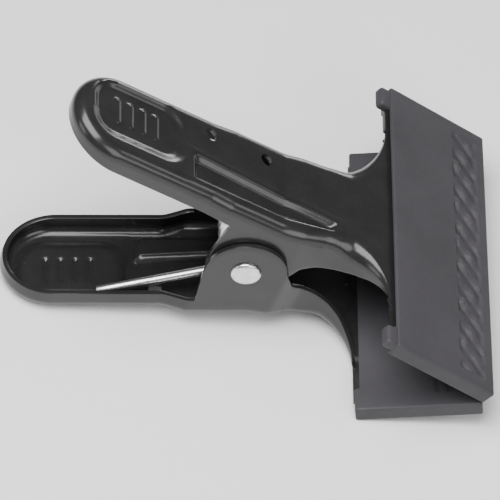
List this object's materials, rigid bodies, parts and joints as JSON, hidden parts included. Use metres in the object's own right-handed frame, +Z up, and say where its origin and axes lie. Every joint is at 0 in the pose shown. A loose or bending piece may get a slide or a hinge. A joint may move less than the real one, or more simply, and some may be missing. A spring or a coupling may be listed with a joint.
{
  "type": "wide-jaw spring clamp",
  "caption": "Wide-jaw spring clamp with two pressed-steel levers, moulded jaw pads and a torsion spring, for holding backgrounds, reflectors and sheets",
  "frame": {"origin": "middle of the footprint, on the surface that the clamp lies on", "axes": "+X towards the jaws, Y along the pivot axis with the domed rivet head on the -Y side, +Z up with the clamp lying on its lower handle end and the rear edge of the lower jaw pad"},
  "size_m": [0.1484, 0.1, 0.0821],
  "materials": {
    "black_paint": "glossy black stove paint on pressed steel sheet",
    "zinc_plate": "bright zinc plate",
    "spring_wire": "bright plated spring wire",
    "pad_plastic": "matte charcoal moulded plastic"
  },
  "bodies": {
    "lower": {"lower_lever": "black_paint", "pivot_rivet": "zinc_plate", "rivet_washer": "zinc_plate", "pivot_sleeve": "zinc_plate", "torsion_spring": "spring_wire", "lower_jaw_pad": "pad_plastic"},
    "upper": {"upper_lever": "black_paint", "upper_jaw_pad": "pad_plastic"}
  },
  "joints": [
    {"name": "jaw_hinge", "type": "hinge", "parent": "lower", "child": "upper", "pos_m": [-0.00119, 0, 0.02768], "axis": [0, -1, 0], "range_deg": [0, 50], "stiffness_Nm_per_rad": 2.5, "springref_deg": -45.84, "deforming": ["torsion_spring"]}
  ]
}
